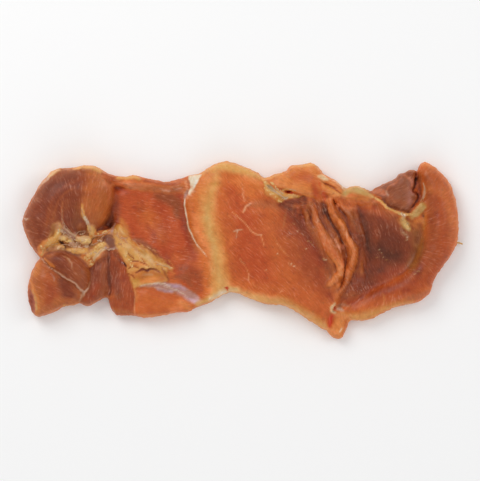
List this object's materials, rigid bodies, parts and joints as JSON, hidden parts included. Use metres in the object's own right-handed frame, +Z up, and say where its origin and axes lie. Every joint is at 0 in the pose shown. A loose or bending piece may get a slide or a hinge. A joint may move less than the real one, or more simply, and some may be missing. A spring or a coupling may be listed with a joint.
{
  "type": "marinated chicken thigh",
  "caption": "Boned chicken thigh opened out flat with its cut side up, marinated, with lobes, folds and a bowl with a rolled rim.",
  "frame": {"origin": "on the surface that the meat lies on, under the middle of its box", "axes": "+X along the strip from the round muscle to the bowl with the rolled rim, +Y across it towards the side with the flap and the inner fillet, +Z up, out of the cut side"},
  "size_m": [0.21, 0.086, 0.0188],
  "materials": {
    "meat": "moist meat with fine fibres, yellow fat and pale membrane under a thin spiced marinade"
  },
  "bodies": {
    "root": {"chicken_thigh": "meat"}
  },
  "joints": []
}
